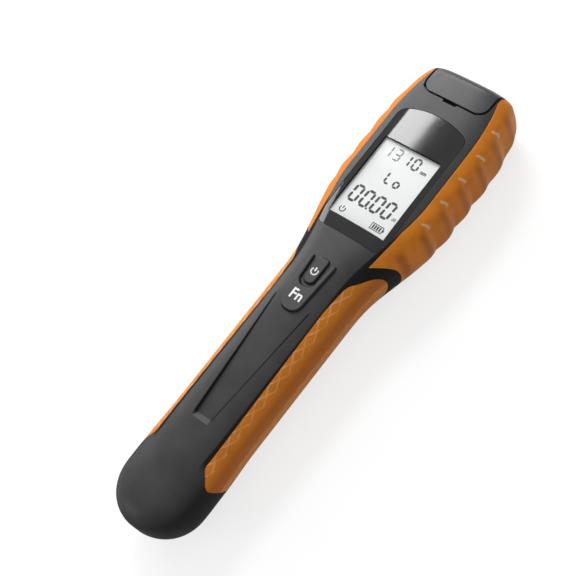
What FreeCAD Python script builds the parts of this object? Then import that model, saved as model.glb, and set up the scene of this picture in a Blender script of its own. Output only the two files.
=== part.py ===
import FreeCAD, Part
import math
import os

from FreeCAD import Vector

# Hand-held optical power meter. It lies on its back: X runs across it, +Y points to the ports and
# +Z comes out of the display. The origin is under the middle of the body, on the plane it rests on.
# All lengths are in millimetres. Places are given from the head end or the tail end of the body.

# ---------------------------------------------------------------- body
LENGTH = 200.0               # tail to port cap
HEAD_HALF_WIDTH = 23.2
HANDLE_HALF_WIDTH = 16.0
TAIL_HALF_WIDTH = 17.0       # also the radius of the round tail, seen from the front
FRONT_DEPTH = 12.0           # front face to the parting plane
HEAD_REAR_DEPTH = 15.9       # parting plane to the back of the head, before its rest flat is planed
HANDLE_REAR_DEPTH = 12.0     # parting plane to the back of the handle
REST_FLAT_DEPTH = 0.3        # planed off the back of the head and of the tail
NECK_END = 52.0              # head end to where the head has its full width
NECK_LENGTH = 43.0
NECK_REAR_END = 70.0         # head end to where the head has its full depth
NECK_REAR_LENGTH = 35.0
TAIL_SWELL_START = 24.0      # tail end to where the tail starts to slim down to the handle
TAIL_SWELL_LENGTH = 20.0
SHOULDER_LENGTH = 27.0       # rounded shoulders of the head
SHOULDER_POWER = 1.75
CROWN_HALF_WIDTH = 14.6      # flat middle of the head's end
END_RUN = 5.0                # rounded edges between the faces and the head's end, along the body
END_DROPS = (11.5, 8.0)      # and across it, at the front and at the back
TAIL_END_POWERS = (3.5, 2.4)  # how blunt the tail is in side view, above and below the parting plane
TAIL_FLAT = 0.12             # the round tail is closed by a flat this far from its tip

# squareness of the section (2 is an ellipse), above and below the parting plane
TAIL_SQUARENESS = (2.5, 2.0)
HANDLE_SQUARENESS = (2.85, 2.8)
HEAD_SQUARENESS = (3.55, 3.7)

# ---------------------------------------------------------------- walls and clearances
GRIP_THICKNESS = 2.2
COVER_WALL = 2.0
FACE_WALL = 2.4              # front cover behind the keys
GRIP_GAP = 0.15              # round the edges of a grip
SEAT_GAP = 0.05              # between pieces of one body that seat on each other
MOVING_GAP = 0.3             # round the cap, the door and the keys

# ---------------------------------------------------------------- side grips, in side view
# circles that the outline of the handle grip is drawn round: place, height from the face, radius
HANDLE_GRIP_TOPS = ((88.7, -12.9, 8.5), (94.0, -12.9, 10.6), (104.0, -12.9, 11.0))    # from the head end
HANDLE_GRIP_TAILS = ((30.9, -7.4, 5.0), (26.6, -6.6, 2.2), (35.3, -15.2, 6.5))        # from the tail end
HANDLE_GRIP_EDGE = 1.95                     # its front edge below the face
HEAD_GRIP_ARCH = (89.0, -15.0, 14.4)        # the black band between the grips is round this circle
HEAD_GRIP_EDGE = 1.7                        # front edge below the face, and rear edge above the back
HEAD_GRIP_BEND = 65.0                       # head end to where the edges turn in towards the arch
HEAD_GRIP_TIP = 81.8                        # head end to the two tips of the grip
HEAD_GRIP_TIP_DEPTH = 2.6
GRIP_END_X = 14.8                           # the head grips stop here, beside the cap
SCALLOP_FIRST = 14.0                        # head end to the first crease
SCALLOP_PITCH = 10.6
SCALLOP_COUNT = 5
SCALLOP_DEPTH = 1.8
SCALLOP_ARCH = 2.0                          # how far a crease falls at the edges of the grip
SCALLOP_BORDER = (2.6, 6.2)                 # below the face, where the creases fade in

# ---------------------------------------------------------------- display
WINDOW_HALF_WIDTH = 15.0
WINDOW_TOP = 21.1
WINDOW_BOTTOM = 76.7
WINDOW_ARCH = 3.4            # rise of the arched top edge
WINDOW_CORNER = 4.0
WINDOW_SINK = 0.15
WINDOW_THICKNESS = 1.5
LCD_HALF_WIDTH = 14.1
LCD_TOP = 34.5
LCD_BOTTOM = 73.2
LCD_THICKNESS = 1.8
BACKLIGHT_THICKNESS = 1.6
BACKLIGHT_INSET = 0.6

# ---------------------------------------------------------------- keys
KEY_TOP = 88.4               # head end to the top of the function key
KEY_BOTTOM = 110.4
KEY_HALF_WIDTH = 5.9
KEY_TAPER = 1.5              # half width lost towards the bottom
INSET_HALF_WIDTH = 4.4   # notch of the function key, in which the power key stands
INSET_TAPER = 1.0
INSET_BOTTOM = 100.2
PAD_HALF_WIDTH = 2.35
PAD_TOP = 87.9
PAD_BOTTOM = 98.4
PAD_CORNER = 0.9
KEY_PROUD = 1.0
KEY_TRAVEL = 0.5
KEY_FLANGE = 1.1
KEY_FLANGE_THICKNESS = 0.8
SWITCH_SIZE = 4.4
PLUNGER_RADIUS = 0.9
PLUNGER_HEIGHT = 0.4
POWER_SWITCH_PLACE = 93.2    # head end to the middle of the switch
FUNCTION_SWITCH_PLACE = 105.2

# ---------------------------------------------------------------- tapered sunk panel
SHIELD_TOP = 105.0
SHIELD_BOTTOM = 158.4
SHIELD_TOP_HALF_WIDTH = 8.1
SHIELD_BOTTOM_HALF_WIDTH = 3.7
SHIELD_DEPTH = 1.3
SHIELD_DRAFT = 0.7
SHIELD_END_SLOPE = 2.2       # length of the sloping wall at the tail end

# ---------------------------------------------------------------- cap and ports
CAP_HALF_WIDTH = 13.6
CAP_LIP_END = 13.6           # head end to the lower edge of the cap's front lip
CAP_CORNER = 4.2
CAP_WALL = 2.0
HINGE_BACK = 3.7             # head end to the hinge axis
HINGE_RISE = 3.3             # back of the head to the hinge axis
KNUCKLE_RADIUS = 3.2
EAR_RADIUS = 2.4
EAR_WIDTH = 3.6
PIN_RADIUS = 0.75
PIN_CLEARANCE = 0.05
CAP_REBATE = (0.9, 0.8)      # width and depth of the step in the cover round the cap's lip
NOTCH_HALF_WIDTH = 3.7
NOTCH_LENGTH = 1.3
NOTCH_DEPTH = 2.2
PANEL_BACK = 14.5            # head end to the inner face of the port panel
PANEL_THICKNESS = 2.0
PANEL_HALF_WIDTH = 15.4
PANEL_RIM = 3.2              # panel edges from the front face and from the back
PANEL_RIB = 1.5              # rib of the covers behind the panel
PORT_SPACING = 12.6
PORT_DEPTH = 13.2            # front face to the port axes
PORT_REACH = 7.4             # ports stand this far out of the panel
PORT_FLANGE = 1.2
DETECTOR_PORT_RADIUS = 4.0
LASER_PORT_RADIUS = 3.3
FLANGE_RADIUS = 5.2
SLEEVE_RADIUS = 3.0
SLEEVE_LENGTH = 4.0
FERRULE_BORE = 1.265
FERRULE_DEPTH = 11.0
APERTURE_RADIUS = 0.5
PHOTODIODE_RADIUS = 2.7
PHOTODIODE_LENGTH = 4.0
LASER_RADIUS = 3.5
LASER_LENGTH = 16.0

# ---------------------------------------------------------------- board, cells, door, screws
BOARD_DEPTH = 5.2            # front face to the top of the board
BOARD_THICKNESS = 1.6
BOARD_HALF_WIDTH = 13.8
BOARD_NECK_HALF_WIDTH = 7.0
BOARD_TOP = 18.5
BOARD_NECK = 76.0
BOARD_BOTTOM = 113.0
CELL_RADIUS = 7.25
CELL_LENGTH = 49.5
CELL_NUB_RADIUS = 2.7
CELL_NUB_LENGTH = 1.0
CELL_CLEARANCE = 0.25
SPRING_LENGTH = 3.6
SPRING_WIRE = 0.4
SPRING_TURNS = 3
CONTACT_THICKNESS = 0.5
CELL_START = 5.4             # tail end to the spring's seat
DOOR_HALF_WIDTH = 8.6
DOOR_START = 15.0            # tail end to the door's hinge edge
DOOR_LENGTH = 95.0
DOOR_CORNER = 3.0
DOOR_WALL = 2.0
HOOK_HALF_WIDTH = 1.5
HOOK_SPACING = 9.0
HOOK_REACH = 1.6
HOOK_THICKNESS = 1.0
SCREW_TOP = (HEAD_HALF_WIDTH - 8.6, 28.0)    # from the middle and from the head end
SCREW_LOW = (HANDLE_HALF_WIDTH - 6.3, 80.0)
SCREW_RADIUS = 1.1
SCREW_HEAD_RADIUS = 2.1
SCREW_HEAD_HEIGHT = 1.6
SCREW_BITE = 6.0             # length of screw in the front cover
BOSS_RADIUS = 2.6
WELL_DEPTH = 4.0

# ---------------------------------------------------------------- worked out from the above
HEAD_END = LENGTH / 2
TAIL_END = -LENGTH / 2
FACE = HEAD_REAR_DEPTH - REST_FLAT_DEPTH + FRONT_DEPTH
PARTING = FACE - FRONT_DEPTH
FAR = 60.0                   # longer than any cut needs to be


def from_head(distance):
    return HEAD_END - distance


def from_tail(distance):
    return TAIL_END + distance


HINGE_Y = from_head(HINGE_BACK)
HINGE_Z = HINGE_RISE
PANEL_INNER_Y = from_head(PANEL_BACK)
PANEL_OUTER_Y = PANEL_INNER_Y + PANEL_THICKNESS
PORT_Z = FACE - PORT_DEPTH
BOARD_Z = FACE - BOARD_DEPTH
CAVITY_INSET = GRIP_THICKNESS + COVER_WALL
CELL_Z = BOARD_Z - BOARD_THICKNESS - CELL_CLEARANCE - CELL_RADIUS


# ---------------------------------------------------------------- the body's skin
def smooth_step(value, start, end):
    t = min(max((value - start) / (end - start), 0.0), 1.0)
    return t * t * (3.0 - 2.0 * t)


def blend(values, y, rear=False):
    """A size along the body, from its values at the tail, the handle and the head."""
    tail, handle, head = values
    neck_end = from_head(NECK_REAR_END if rear else NECK_END)
    neck_length = NECK_REAR_LENGTH if rear else NECK_LENGTH
    to_head = smooth_step(y, neck_end - neck_length, neck_end)
    swell = from_tail(TAIL_SWELL_START)
    to_handle = smooth_step(y, swell, swell + TAIL_SWELL_LENGTH)
    return tail + (handle - tail) * to_handle + (head - handle) * to_head


def half_width(y, inset):
    width = blend((TAIL_HALF_WIDTH, HANDLE_HALF_WIDTH, HEAD_HALF_WIDTH), y) - inset
    tail_centre = from_tail(TAIL_HALF_WIDTH)
    if y < tail_centre:
        radius = TAIL_HALF_WIDTH - inset
        return math.sqrt(max(radius ** 2 - (tail_centre - y) ** 2, 0.0))
    shoulder = from_head(SHOULDER_LENGTH)
    if y > shoulder:
        t = min((y - shoulder) / (SHOULDER_LENGTH - inset), 1.0)
        curve = (1.0 - t ** SHOULDER_POWER) ** (1.0 / SHOULDER_POWER)
        return CROWN_HALF_WIDTH + (width - CROWN_HALF_WIDTH) * curve
    return width


def end_rounding(y, depth, inset, tail_power, drop):
    """Depth of the skin from the parting plane, brought in over the tail and the head's end."""
    tail_centre = from_tail(TAIL_HALF_WIDTH)
    if y < tail_centre:
        t = min((tail_centre - y) / (TAIL_HALF_WIDTH - inset), 1.0)
        return depth * (1.0 - t ** tail_power) ** (1.0 / tail_power)
    run, drop = max(END_RUN - inset, 0.3), max(drop - inset, 0.3)
    into_edge = y - (from_head(inset) - run)
    if into_edge > 0.0:
        return depth - drop + drop * math.sqrt(max(1.0 - (into_edge / run) ** 2, 0.0))
    return depth


def front_depth(y, inset):
    return end_rounding(y, FRONT_DEPTH - inset, inset, TAIL_END_POWERS[0], END_DROPS[0])


def rear_depth(y, inset):
    depth = blend((HEAD_REAR_DEPTH, HANDLE_REAR_DEPTH, HEAD_REAR_DEPTH), y, rear=True)
    return end_rounding(y, depth - inset, inset, TAIL_END_POWERS[1], END_DROPS[1])


def skin_point(y, angle, inset, relief=None):
    """A point of the skin. The angle is measured from +X about the middle of the parting plane."""
    across, up = math.cos(angle), math.sin(angle)
    side = 0 if up >= 0.0 else 1
    power = blend((TAIL_SQUARENESS[side], HANDLE_SQUARENESS[side], HEAD_SQUARENESS[side]), y)
    reach = (abs(across) ** power + abs(up) ** power) ** (-1.0 / power)
    depth = rear_depth(y, inset) if side else front_depth(y, inset)
    x = half_width(y, inset) * across * reach
    z = PARTING + depth * up * reach
    if relief:
        x -= relief(y, z)
    return Vector(x, y, z)


def stations(start, end, inset, step):
    """Places along Y for the sections of the skin, closer together at the round ends."""
    tail_centre = from_tail(TAIL_HALF_WIDTH)
    shoulder = from_head(SHOULDER_LENGTH)
    radius = TAIL_HALF_WIDTH - inset
    reach = SHOULDER_LENGTH - inset
    steps = 9
    places = [tail_centre - radius * math.cos(math.pi / 2 * i / steps) for i in range(1, steps)]
    count = max(round((shoulder - tail_centre) / step), 1)
    places += [tail_centre + (shoulder - tail_centre) * i / count for i in range(count + 1)]
    places += [shoulder + reach * math.sin(math.pi / 2 * i / steps) for i in range(1, steps + 1)]
    margin = 0.25
    return [start] + [y for y in places if start + margin < y < end - margin] + [end]


HALVES = {"front": (0.0, 180.0), "rear": (180.0, 360.0), "right": (-90.0, 90.0)}
COLUMNS = 14


def curve_through(points, parameters):
    curve = Part.BSplineCurve()
    curve.interpolate(Points=points, Parameters=parameters)
    return curve


def skin_through(grid, angles):
    """The smooth surface through a grid of points, whose edges stay in the planes of the outer points."""
    places = [0.0]
    for row, next_row in zip(grid, grid[1:]):
        middle = len(row) // 4
        places.append(places[-1] + (next_row[middle] - row[middle]).Length)
    rows = [curve_through(row, angles) for row in grid]
    lines = [curve_through(list(column), places) for column in zip(*(row.getPoles() for row in rows))]
    poles = [list(net) for net in zip(*(line.getPoles() for line in lines))]
    surface = Part.BSplineSurface()
    surface.buildFromPolesMultsKnots(
        poles, lines[0].getMultiplicities(), rows[0].getMultiplicities(),
        lines[0].getKnots(), rows[0].getKnots(), False, False, lines[0].Degree, rows[0].Degree)
    return surface


def is_across(edge):
    return abs(edge.Vertexes[0].Y - edge.Vertexes[-1].Y) < 1e-6


def half_body(half, inset, start=None, end=None, relief=None, step=7.5):
    """Half of the body, drawn in by inset: its skin, closed by the middle plane and two flat ends."""
    start = TAIL_END + inset + TAIL_FLAT if start is None else start
    end = HEAD_END - inset if end is None else end
    first, last = (math.radians(a) for a in HALVES[half])
    angles = [first + (last - first) * i / COLUMNS for i in range(COLUMNS + 1)]
    places = stations(start, end, inset, step)
    grid = [[skin_point(y, a, inset, relief) for a in angles] for y in places]
    for row in grid:
        if half == "right":
            row[0].x = row[-1].x = 0.0
        else:
            row[0].z = row[-1].z = PARTING
    skin = skin_through(grid, angles).toShape()
    closing = [Part.makeLine(row[0], row[-1]) for row in (grid[0], grid[-1])]
    ends = [edge for edge in skin.Edges if is_across(edge)]
    sides = [edge for edge in skin.Edges if not is_across(edge)]
    ends.sort(key=lambda edge: edge.Vertexes[0].Y)
    faces = [Part.Face(Part.Wire(pair)) for pair in zip(ends, closing)]
    middle = Part.Face(Part.Wire(Part.sortEdges(sides + closing)[0]))
    shell = Part.makeShell([skin, middle] + faces)
    shell.sewShape()
    solid = Part.makeSolid(shell)
    solid.fixTolerance(1e-4)
    return solid if solid.Volume > 0 else solid.reversed()


# ---------------------------------------------------------------- shapes in side, front and top view
def prism(wire, direction):
    return Part.Face(wire).extrude(direction)


def side_point(y, z, x=0.0):
    return Vector(x, y, z)


def block(x, y, z):
    """A box from three (low, high) pairs."""
    return Part.makeBox(x[1] - x[0], y[1] - y[0], z[1] - z[0], Vector(x[0], y[0], z[0]))


def rod(radius, start, axis, length):
    return Part.makeCylinder(radius, length, start, axis)


def rounded_block(x, y, z, corner):
    """A box whose upright edges are rounded."""
    box = block(x, y, z)
    return box.makeFillet(corner, [e for e in box.Edges if abs(e.tangentAt(e.FirstParameter).z) > 0.99])


def mirrored(shape):
    return shape.mirror(Vector(0, 0, 0), Vector(1, 0, 0))


def outline_prism(points, corners, low, high):
    """A prism between two heights over a polygon given as (x, y), with a radius at each corner."""
    base = Part.makePolygon([Vector(x, y, low) for x, y in points + points[:1]])
    solid = prism(base, Vector(0, 0, high - low))
    for (x, y), corner in zip(points, corners):
        if corner > 0.0:
            edge = next(e for e in solid.Edges if is_upright_at(e, x, y))
            solid = solid.makeFillet(corner, [edge])
    return solid


def is_upright_at(edge, x, y):
    return all(abs(v.X - x) < 1e-3 and abs(v.Y - y) < 1e-3 for v in edge.Vertexes)


def belt(circles, x):
    """The outline of a belt round circles (y, z, radius), given anticlockwise as seen from +X."""
    normals = []
    for (y1, z1, r1), (y2, z2, r2) in zip(circles, circles[1:] + circles[:1]):
        span = math.hypot(y2 - y1, z2 - z1)
        heading = math.atan2(z2 - z1, y2 - y1)
        normals.append(heading - math.pi / 2 + math.asin((r1 - r2) / span))
    edges = []
    for i, (y, z, radius) in enumerate(circles):
        arriving, leaving = normals[i - 1], normals[i]
        sweep = (leaving - arriving) % (2 * math.pi)
        arc = [side_point(y + radius * math.cos(a), z + radius * math.sin(a), x)
               for a in (arriving, arriving + sweep / 2, leaving)]
        edges.append(Part.Arc(*arc).toShape())
    lines = [Part.makeLine(a.valueAt(a.LastParameter), b.valueAt(b.FirstParameter))
             for a, b in zip(edges, edges[1:] + edges[:1])]
    return Part.Wire([e for pair in zip(edges, lines) for e in pair])


# ---------------------------------------------------------------- side grips
def handle_grip_profile(gap):
    tops = [(from_head(place), FACE + z, radius + gap) for place, z, radius in HANDLE_GRIP_TOPS]
    tails = [(from_tail(place), FACE + z, radius + gap) for place, z, radius in HANDLE_GRIP_TAILS]
    return prism(belt(tops + tails + tops[:0:-1], 0.0), Vector(FAR, 0, 0))


def head_grip_profile(gap):
    arch_y, arch_z = from_head(HEAD_GRIP_ARCH[0]), FACE + HEAD_GRIP_ARCH[1]
    radius = HEAD_GRIP_ARCH[2] - gap
    tip = FACE - HEAD_GRIP_TIP_DEPTH + gap
    tip_y = arch_y + math.sqrt(radius ** 2 - (tip - arch_z) ** 2)
    low_tip = 2 * arch_z - tip
    front, rear = FACE - HEAD_GRIP_EDGE + gap, HEAD_GRIP_EDGE - gap
    bend, top = from_head(HEAD_GRIP_BEND), HEAD_END + FAR
    corners = [(tip_y, low_tip), (bend, rear), (top, rear), (top, front), (bend, front), (tip_y, tip)]
    path = [side_point(y, z) for y, z in corners]
    arch = Part.Arc(path[-1], side_point(arch_y + radius, arch_z), path[0]).toShape()
    lines = [Part.makeLine(a, b) for a, b in zip(path, path[1:])]
    return prism(Part.Wire(lines + [arch]), Vector(FAR, 0, 0))


def skin_x(y, depth):
    """Half the width of the skin at a depth below the front face."""
    full = front_depth(y, 0.0)
    power = blend((TAIL_SQUARENESS[0], HANDLE_SQUARENESS[0], HEAD_SQUARENESS[0]), y)
    share = max(1.0 - (max(FRONT_DEPTH - depth, 0.0) / full) ** power, 0.0) if full > 0 else 0.0
    return half_width(y, 0.0) * share ** (1.0 / power)


def head_edge_depth(y):
    """How far the front edge of the head grip is below the face: more towards its tip."""
    along = (from_head(HEAD_GRIP_BEND) - y) / (HEAD_GRIP_TIP - HEAD_GRIP_BEND)
    return HEAD_GRIP_EDGE + (HEAD_GRIP_TIP_DEPTH - HEAD_GRIP_EDGE) * min(max(along, 0.0), 1.0)


def handle_edge_depth(y):
    return HANDLE_GRIP_EDGE


def lobe(start, end, depth, gap, end_x=0.0):
    """All that lies outside an upright wall, which follows the skin at a depth below the face."""
    undercut = 0.3
    count = 16
    places = [start + (end - start) * i / count for i in range(count + 1)]
    wall = [Vector(max(skin_x(y, depth(y)) - undercut, end_x) - gap, y, -FAR) for y in places]
    curve = Part.BSplineCurve()
    curve.interpolate(wall)
    corners = [wall[-1], Vector(FAR, end, -FAR), Vector(FAR, start, -FAR), wall[0]]
    lines = [Part.makeLine(a, b) for a, b in zip(corners, corners[1:])]
    return prism(Part.Wire([curve.toShape()] + lines), Vector(0, 0, 3 * FAR))


def handle_grip_zone(gap):
    start = from_tail(HANDLE_GRIP_TAILS[1][0] - HANDLE_GRIP_TAILS[1][2] - 4.0)
    end = from_head(HANDLE_GRIP_TOPS[0][0] - HANDLE_GRIP_TOPS[0][2] - 4.0)
    return handle_grip_profile(gap).common(lobe(start, end, handle_edge_depth, gap))


def head_grip_zone(gap):
    shoulder = from_head(SHOULDER_LENGTH)
    start = from_head(HEAD_GRIP_TIP + 6.0)
    main = head_grip_profile(gap)
    lower = main.common(lobe(start, shoulder, head_edge_depth, gap))
    upper = main.common(lobe(shoulder, HEAD_END + 1.0, head_edge_depth, gap, GRIP_END_X))
    return lower.fuse(upper).removeSplitter()


def scallops(y, z):
    """How far the creases between the scallops are sunk into the side of the head."""
    middle, half = (FACE + HEAD_GRIP_ARCH[1]), FRONT_DEPTH
    arch = SCALLOP_ARCH * ((z - middle) / half) ** 2
    turn = (from_head(SCALLOP_FIRST) - arch - y) / SCALLOP_PITCH
    last = SCALLOP_COUNT - 1
    if turn < 0.0:
        bulge = min(-2.0 * turn, 1.0)
    elif turn > last:
        bulge = min(2.0 * (turn - last), 1.0)
    else:
        bulge = abs(2.0 * (turn - math.floor(turn)) - 1.0)
        bulge = 1.0 - bulge
    bulge = math.sin(math.pi / 2 * bulge)
    near_edge = min(FACE - z, z)
    return SCALLOP_DEPTH * (1.0 - bulge) * smooth_step(near_edge, *SCALLOP_BORDER)


def head_grip(core):
    start = from_head(HEAD_GRIP_TIP + 8.0)
    outer = half_body("right", 0.0, start=start, relief=scallops, step=SCALLOP_PITCH / 8)
    return outer.common(head_grip_zone(0.0)).cut(core)


def handle_grip(core):
    start = from_tail(HANDLE_GRIP_TAILS[1][0] - HANDLE_GRIP_TAILS[1][2] - 3.0)
    end = from_head(HANDLE_GRIP_TOPS[0][0] - HANDLE_GRIP_TOPS[0][2] - 3.0)
    outer = half_body("right", 0.0, start=start, end=end)
    return outer.common(handle_grip_zone(0.0)).cut(core)


# ---------------------------------------------------------------- port cap and its hinge
def cap_outline(gap):
    half, lower = CAP_HALF_WIDTH + gap, from_head(CAP_LIP_END) - gap
    points = [(-half, HEAD_END + FAR), (-half, lower), (half, lower), (half, HEAD_END + FAR)]
    corner = CAP_CORNER + gap
    return outline_prism(points, [0.0, corner, corner, 0.0], -FAR, FAR)


def hinge_rod(radius, low, high):
    return rod(radius, Vector(low, HINGE_Y, HINGE_Z), Vector(1, 0, 0), high - low)


def port_cap(front, rear):
    outline = cap_outline(0.0)
    inner_y = HEAD_END - CAP_WALL
    shell = front.common(outline).cut(half_body("front", CAP_WALL))
    end_wall = block((-FAR, FAR), (inner_y, HEAD_END + 1.0), (HINGE_Z, PARTING))
    shell = shell.fuse(rear.common(outline).common(end_wall))
    shell = shell.fuse(hinge_rod(KNUCKLE_RADIUS, -CAP_HALF_WIDTH, CAP_HALF_WIDTH))
    shell = shell.removeSplitter()
    ear = CAP_HALF_WIDTH - EAR_WIDTH
    for low, high in ((-FAR, -ear), (ear, FAR)):
        shell = shell.cut(hinge_rod(KNUCKLE_RADIUS + MOVING_GAP / 2, low, high))
    return shell.cut(hinge_rod(PIN_RADIUS + PIN_CLEARANCE, -FAR, FAR))


def hinge_ears():
    inner = CAP_HALF_WIDTH - EAR_WIDTH + MOVING_GAP
    outer = CAP_HALF_WIDTH + MOVING_GAP
    ear = hinge_rod(EAR_RADIUS, inner, outer)
    web = block((inner, outer), (HINGE_Y - KNUCKLE_RADIUS - 3.0, HINGE_Y), (1.0, HINGE_Z + EAR_RADIUS))
    ear = ear.fuse(web)
    return ear.fuse(mirrored(ear))


def cap_hinge_pin():
    reach = CAP_HALF_WIDTH + MOVING_GAP / 2
    return hinge_rod(PIN_RADIUS, -reach, reach)


def port_chamber():
    """The room under the cap, open to the head's end and, past the knuckle, to the back."""
    half = CAP_HALF_WIDTH + MOVING_GAP
    knuckle = HINGE_Y - KNUCKLE_RADIUS - MOVING_GAP
    room = block((-half, half), (PANEL_OUTER_Y, HEAD_END + FAR), (CAP_WALL, FAR))
    return room.fuse(block((-half, half), (knuckle, HEAD_END + FAR), (-FAR, FAR)))


def cap_rebate():
    """A shallow step round the lip of the cap, which frames it with a shadow."""
    width, depth = CAP_REBATE
    room = block((-FAR, FAR), (from_head(CAP_LIP_END + 2.0), HEAD_END + 5.0), (PARTING, FAR))
    return cap_outline(width).cut(half_body("front", depth)).common(room)


def finger_notch():
    lower = from_head(CAP_LIP_END + MOVING_GAP + NOTCH_LENGTH)
    upper = from_head(CAP_LIP_END)
    points = [(-NOTCH_HALF_WIDTH, upper), (-NOTCH_HALF_WIDTH * 0.75, lower),
              (NOTCH_HALF_WIDTH * 0.75, lower), (NOTCH_HALF_WIDTH, upper)]
    return outline_prism(points, [0.0, 0.8, 0.8, 0.0], FACE - NOTCH_DEPTH, FAR)


# ---------------------------------------------------------------- ports
def port_panel():
    panel = block((-PANEL_HALF_WIDTH, PANEL_HALF_WIDTH), (PANEL_INNER_Y, PANEL_OUTER_Y),
                  (PANEL_RIM, FACE - PANEL_RIM))
    for x in (-PORT_SPACING / 2, PORT_SPACING / 2):
        panel = panel.cut(port_rod(SLEEVE_RADIUS + SEAT_GAP, x, PANEL_INNER_Y - 1.0, PANEL_OUTER_Y + 1.0))
    return panel


def port_rod(radius, x, start, end):
    return rod(radius, Vector(x, start, PORT_Z), Vector(0, 1, 0), end - start)


def port(x, radius):
    """A ferrule port: barrel, flange against the panel, sleeve through it, and the ferrule's bore."""
    mouth = PANEL_OUTER_Y + PORT_REACH
    flange = PANEL_OUTER_Y + SEAT_GAP
    tail = PANEL_INNER_Y - SLEEVE_LENGTH
    body = port_rod(radius, x, flange, mouth)
    body = body.makeChamfer(0.5, [e for e in body.Edges if e.Closed and e.BoundBox.YMin > mouth - 0.1])
    body = body.fuse(port_rod(FLANGE_RADIUS, x, flange, flange + PORT_FLANGE))
    body = body.fuse(port_rod(SLEEVE_RADIUS, x, tail, flange))
    body = body.cut(port_rod(FERRULE_BORE, x, mouth - FERRULE_DEPTH, mouth + 1.0))
    return body.cut(port_rod(APERTURE_RADIUS, x, tail - 1.0, mouth))


def detector_port():
    mouth = PANEL_OUTER_Y + PORT_REACH
    key = block((-PORT_SPACING / 2 - 1.05, -PORT_SPACING / 2 + 1.05), (mouth - 2.4, mouth + 1.0),
                (PORT_Z + 2.2, PORT_Z + FAR))
    return port(-PORT_SPACING / 2, DETECTOR_PORT_RADIUS).cut(key)


def laser_port():
    return port(PORT_SPACING / 2, LASER_PORT_RADIUS)


def photodiode():
    end = PANEL_INNER_Y - SLEEVE_LENGTH - SEAT_GAP
    can = port_rod(PHOTODIODE_RADIUS, -PORT_SPACING / 2, end - PHOTODIODE_LENGTH, end)
    rim = port_rod(PHOTODIODE_RADIUS + 0.5, -PORT_SPACING / 2, end - PHOTODIODE_LENGTH, end - PHOTODIODE_LENGTH + 0.6)
    return can.fuse(rim)


def laser_module():
    end = PANEL_INNER_Y - SLEEVE_LENGTH - SEAT_GAP
    return port_rod(LASER_RADIUS, PORT_SPACING / 2, end - LASER_LENGTH, end)


# ---------------------------------------------------------------- display
def window_outline(gap, low, high):
    """The window seen from the front: upright sides, rounded corners and an arched top edge."""
    half = WINDOW_HALF_WIDTH + gap
    lower, upper = from_head(WINDOW_BOTTOM) - gap, from_head(WINDOW_TOP) + gap
    side = upper - WINDOW_ARCH
    path = [Vector(half, side, low), Vector(-half, side, low), Vector(-half, lower, low), Vector(half, lower, low)]
    arch = Part.Arc(path[0], Vector(0, upper, low), path[1]).toShape()
    lines = [Part.makeLine(a, b) for a, b in zip(path[1:], path[2:] + path[:1])]
    solid = prism(Part.Wire([arch] + lines), Vector(0, 0, high - low))
    uprights = [e for e in solid.Edges if abs(e.Vertexes[0].Z - e.Vertexes[-1].Z) > 1.0]
    return solid.makeFillet(WINDOW_CORNER + gap, uprights)


WINDOW_BACK = FACE - WINDOW_SINK - WINDOW_THICKNESS
LCD_Z = WINDOW_BACK - SEAT_GAP


def display_window():
    skin = half_body("front", WINDOW_SINK, start=from_head(WINDOW_BOTTOM + 5.0), end=from_head(WINDOW_TOP - 5.0))
    return skin.common(window_outline(-GRIP_GAP, WINDOW_BACK, FACE + 1.0))


def lcd_block(inset, high, low):
    return block((inset - LCD_HALF_WIDTH, LCD_HALF_WIDTH - inset),
                 (from_head(LCD_BOTTOM) + inset, from_head(LCD_TOP) - inset), (low, high))


def lcd_module():
    return lcd_block(0.0, LCD_Z, LCD_Z - LCD_THICKNESS)


def lcd_backlight():
    top = LCD_Z - LCD_THICKNESS - SEAT_GAP
    return lcd_block(BACKLIGHT_INSET, top, top - BACKLIGHT_THICKNESS)


# ---------------------------------------------------------------- keys
def key_outline(half, top, bottom, lower_half, gap, low, high):
    """A key seen from the front: straight top, and sides that taper to a round lower end."""
    y_top, y_bottom = from_head(top) + gap, from_head(bottom) - gap
    half, lower_half = half + gap, lower_half + gap
    points = [(-half, y_top), (-lower_half, y_bottom), (lower_half, y_bottom), (half, y_top)]
    corner = lower_half * 0.93
    return outline_prism(points, [0.5, corner, corner, 0.5], low, high)


def function_outline(gap, low, high):
    return key_outline(KEY_HALF_WIDTH, KEY_TOP, KEY_BOTTOM, KEY_HALF_WIDTH - KEY_TAPER, gap, low, high)


def inset_outline(gap, low, high, top=KEY_TOP):
    """The notch of the function key, seen from the front."""
    flare = INSET_TAPER * (KEY_TOP - top) / (INSET_BOTTOM - KEY_TOP)
    half = INSET_HALF_WIDTH + flare
    return key_outline(half, top, INSET_BOTTOM, INSET_HALF_WIDTH - INSET_TAPER, gap, low, high)


def pad_outline(gap, low, high):
    half, lower_half = PAD_HALF_WIDTH + gap, PAD_HALF_WIDTH - 0.1 + gap
    y_top, y_bottom = from_head(PAD_TOP) + gap, from_head(PAD_BOTTOM) - gap
    points = [(-half, y_top), (-lower_half, y_bottom), (lower_half, y_bottom), (half, y_top)]
    corner = lower_half * 0.93
    return outline_prism(points, [PAD_CORNER + gap, corner, corner, PAD_CORNER + gap], low, high)


KEY_SEAT = FACE - FACE_WALL - SEAT_GAP
KEY_BASE = KEY_SEAT - KEY_FLANGE_THICKNESS


def softened(solid, height, radius):
    """Rounds the top edges of a key."""
    rim = [e for e in solid.Edges if min(v.Z for v in e.Vertexes) > height - 1e-3]
    return solid.makeFillet(radius, rim)


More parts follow.
